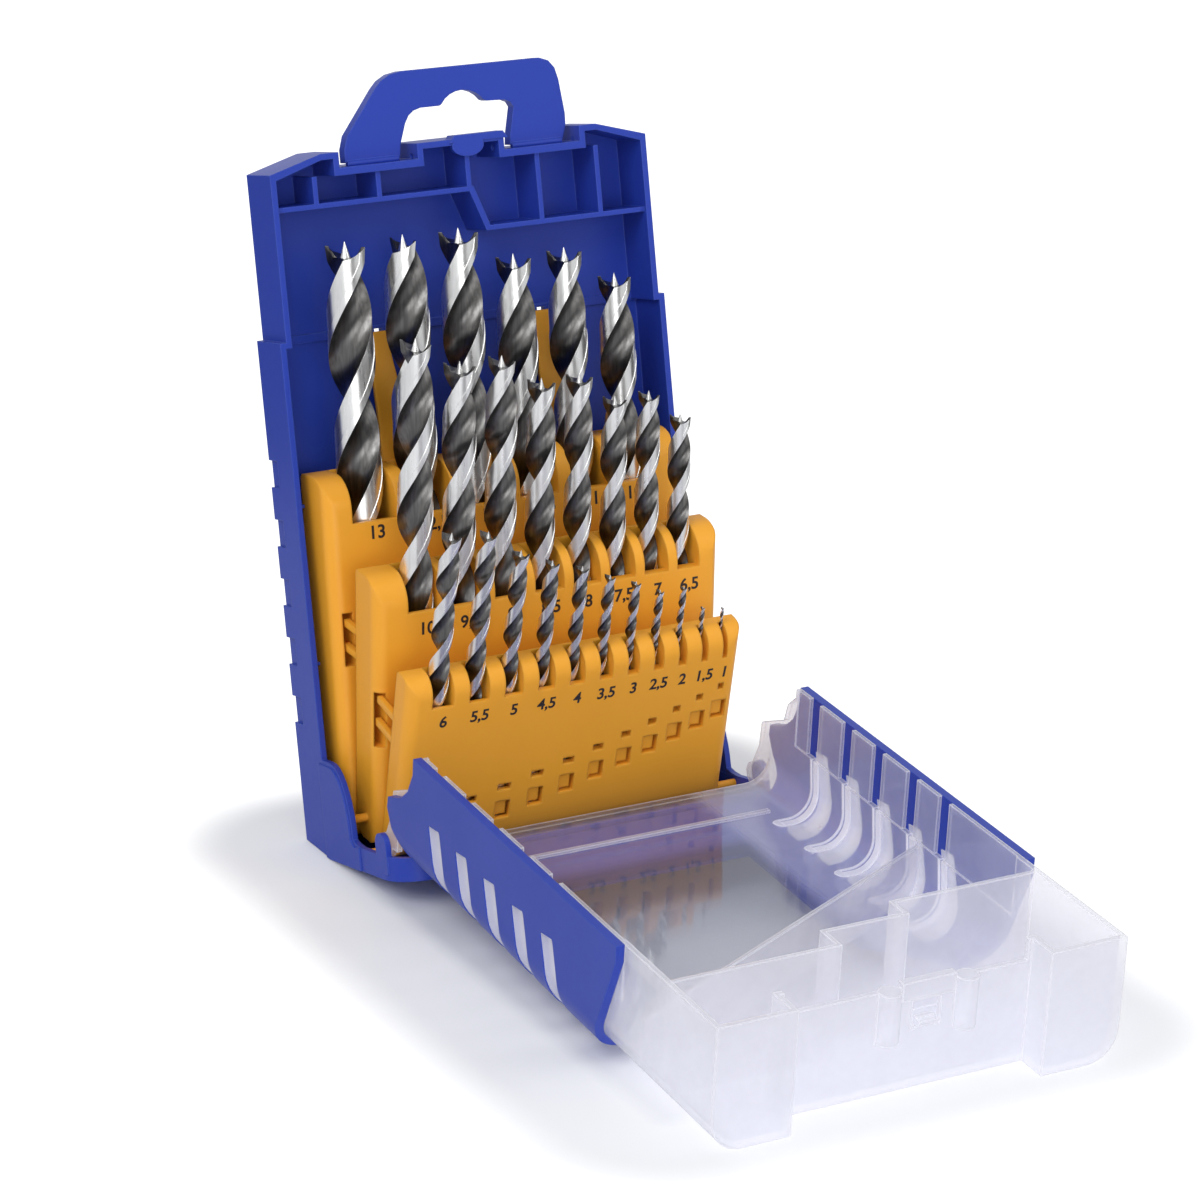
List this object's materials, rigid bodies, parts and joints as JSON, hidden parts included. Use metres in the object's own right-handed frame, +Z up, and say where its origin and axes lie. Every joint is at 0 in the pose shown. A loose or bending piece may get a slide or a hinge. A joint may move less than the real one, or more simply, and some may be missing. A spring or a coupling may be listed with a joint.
{
  "type": "drill bit case",
  "caption": "Folding case with a hinged clear lid, a carrying handle and three tilting racks of twisted brad point bits.",
  "frame": {"origin": "middle of the bevel under the shell that stands on the table", "axes": "+X to the right of someone facing the open case, +Y to the back, +Z up"},
  "size_m": [0.1204, 0.2649, 0.2093],
  "materials": {
    "blue_plastic": "satin moulded polypropylene",
    "clear_plastic": "clear moulded plastic with frosted walls",
    "yellow_plastic": "satin moulded plastic",
    "black_ink": "printed sizes",
    "bit_steel": "ground and polished steel with dark flutes"
  },
  "bodies": {
    "case": {"rear_shell": "blue_plastic"},
    "handle": {"handle": "blue_plastic"},
    "lid": {"lid_tray": "clear_plastic", "lid_frame": "blue_plastic"},
    "back_rack": {"rack_back": "yellow_plastic"},
    "middle_rack": {"rack_middle": "yellow_plastic", "link_middle_left": "yellow_plastic", "link_middle_right": "yellow_plastic"},
    "front_rack": {"rack_front": "yellow_plastic", "link_front_left": "yellow_plastic", "link_front_right": "yellow_plastic"},
    "bit_13": {"bit_13": "bit_steel"},
    "bit_12_5": {"bit_12_5": "bit_steel"},
    "bit_12": {"bit_12": "bit_steel"},
    "bit_11_5": {"bit_11_5": "bit_steel"},
    "bit_11": {"bit_11": "bit_steel"},
    "bit_10_5": {"bit_10_5": "bit_steel"},
    "bit_10": {"bit_10": "bit_steel"},
    "bit_9_5": {"bit_9_5": "bit_steel"},
    "bit_9": {"bit_9": "bit_steel"},
    "bit_8_5": {"bit_8_5": "bit_steel"},
    "bit_8": {"bit_8": "bit_steel"},
    "bit_7_5": {"bit_7_5": "bit_steel"},
    "bit_7": {"bit_7": "bit_steel"},
    "bit_6_5": {"bit_6_5": "bit_steel"},
    "bit_6": {"bit_6": "bit_steel"},
    "bit_5_5": {"bit_5_5": "bit_steel"},
    "bit_5": {"bit_5": "bit_steel"},
    "bit_4_5": {"bit_4_5": "bit_steel"},
    "bit_4": {"bit_4": "bit_steel"},
    "bit_3_5": {"bit_3_5": "bit_steel"},
    "bit_3": {"bit_3": "bit_steel"},
    "bit_2_5": {"bit_2_5": "bit_steel"},
    "bit_2": {"bit_2": "bit_steel"},
    "bit_1_5": {"bit_1_5": "bit_steel"},
    "bit_1": {"bit_1": "bit_steel"}
  },
  "joints": [
    {"name": "lid_hinge", "type": "hinge", "parent": "case", "child": "lid", "pos_m": [0, -0.04097, 0.01567], "axis": [1, 0, 0], "range_deg": [-105.83, 0]},
    {"name": "handle_hinge", "type": "hinge", "parent": "case", "child": "handle", "pos_m": [0, 0.03056, 0.18603], "axis": [-1, 0, 0], "range_deg": [-90, 0]},
    {"name": "back_tilt", "type": "hinge", "parent": "case", "child": "back_rack", "pos_m": [0, 0.00011, 0.01064], "axis": [1, 0, 0], "range_deg": [-4.3, 0]},
    {"name": "middle_tilt", "type": "hinge", "parent": "case", "child": "middle_rack", "pos_m": [0, -0.01498, 0.01346], "axis": [1, 0, 0], "range_deg": [-12.5, 0]},
    {"name": "front_tilt", "type": "hinge", "parent": "case", "child": "front_rack", "pos_m": [0, -0.02773, 0.00811], "axis": [1, 0, 0], "range_deg": [-23, 0]},
    {"name": "bit_13_slide", "type": "slide", "parent": "back_rack", "child": "bit_13", "axis": [0, 0.1096, 0.994], "range_m": [0, 0.0777]},
    {"name": "bit_12_5_slide", "type": "slide", "parent": "back_rack", "child": "bit_12_5", "axis": [0, 0.1096, 0.994], "range_m": [0, 0.0777]},
    {"name": "bit_12_slide", "type": "slide", "parent": "back_rack", "child": "bit_12", "axis": [0, 0.1096, 0.994], "range_m": [0, 0.0777]},
    {"name": "bit_11_5_slide", "type": "slide", "parent": "back_rack", "child": "bit_11_5", "axis": [0, 0.1096, 0.994], "range_m": [0, 0.0777]},
    {"name": "bit_11_slide", "type": "slide", "parent": "back_rack", "child": "bit_11", "axis": [0, 0.1096, 0.994], "range_m": [0, 0.0777]},
    {"name": "bit_10_5_slide", "type": "slide", "parent": "back_rack", "child": "bit_10_5", "axis": [0, 0.1096, 0.994], "range_m": [0, 0.0777]},
    {"name": "bit_10_slide", "type": "slide", "parent": "middle_rack", "child": "bit_10", "axis": [0, -0.0333, 0.9994], "range_m": [0, 0.0607]},
    {"name": "bit_9_5_slide", "type": "slide", "parent": "middle_rack", "child": "bit_9_5", "axis": [0, -0.0333, 0.9994], "range_m": [0, 0.0607]},
    {"name": "bit_9_slide", "type": "slide", "parent": "middle_rack", "child": "bit_9", "axis": [0, -0.0333, 0.9994], "range_m": [0, 0.0607]},
    {"name": "bit_8_5_slide", "type": "slide", "parent": "middle_rack", "child": "bit_8_5", "axis": [0, -0.0333, 0.9994], "range_m": [0, 0.0607]},
    {"name": "bit_8_slide", "type": "slide", "parent": "middle_rack", "child": "bit_8", "axis": [0, -0.0333, 0.9994], "range_m": [0, 0.0607]},
    {"name": "bit_7_5_slide", "type": "slide", "parent": "middle_rack", "child": "bit_7_5", "axis": [0, -0.0333, 0.9994], "range_m": [0, 0.0607]},
    {"name": "bit_7_slide", "type": "slide", "parent": "middle_rack", "child": "bit_7", "axis": [0, -0.0333, 0.9994], "range_m": [0, 0.0607]},
    {"name": "bit_6_5_slide", "type": "slide", "parent": "middle_rack", "child": "bit_6_5", "axis": [0, -0.0333, 0.9994], "range_m": [0, 0.0607]},
    {"name": "bit_6_slide", "type": "slide", "parent": "front_rack", "child": "bit_6", "axis": [0, -0.2149, 0.9766], "range_m": [0, 0.0443]},
    {"name": "bit_5_5_slide", "type": "slide", "parent": "front_rack", "child": "bit_5_5", "axis": [0, -0.2149, 0.9766], "range_m": [0, 0.0457]},
    {"name": "bit_5_slide", "type": "slide", "parent": "front_rack", "child": "bit_5", "axis": [0, -0.2149, 0.9766], "range_m": [0, 0.0462]},
    {"name": "bit_4_5_slide", "type": "slide", "parent": "front_rack", "child": "bit_4_5", "axis": [0, -0.2149, 0.9766], "range_m": [0, 0.0448]},
    {"name": "bit_4_slide", "type": "slide", "parent": "front_rack", "child": "bit_4", "axis": [0, -0.2149, 0.9766], "range_m": [0, 0.0432]},
    {"name": "bit_3_5_slide", "type": "slide", "parent": "front_rack", "child": "bit_3_5", "axis": [0, -0.2149, 0.9766], "range_m": [0, 0.0424]},
    {"name": "bit_3_slide", "type": "slide", "parent": "front_rack", "child": "bit_3", "axis": [0, -0.2149, 0.9766], "range_m": [0, 0.0369]},
    {"name": "bit_2_5_slide", "type": "slide", "parent": "front_rack", "child": "bit_2_5", "axis": [0, -0.2149, 0.9766], "range_m": [0, 0.0369]},
    {"name": "bit_2_slide", "type": "slide", "parent": "front_rack", "child": "bit_2", "axis": [0, -0.2149, 0.9766], "range_m": [0, 0.0292]},
    {"name": "bit_1_5_slide", "type": "slide", "parent": "front_rack", "child": "bit_1_5", "axis": [0, -0.2149, 0.9766], "range_m": [0, 0.0278]},
    {"name": "bit_1_slide", "type": "slide", "parent": "front_rack", "child": "bit_1", "axis": [0, -0.2149, 0.9766], "range_m": [0, 0.0231]}
  ],
  "couplings": [
    {"joint": "back_tilt", "follows": "lid_hinge", "ratio": 0.040631},
    {"joint": "middle_tilt", "follows": "lid_hinge", "ratio": 0.11812},
    {"joint": "front_tilt", "follows": "lid_hinge", "ratio": 0.21733}
  ]
}
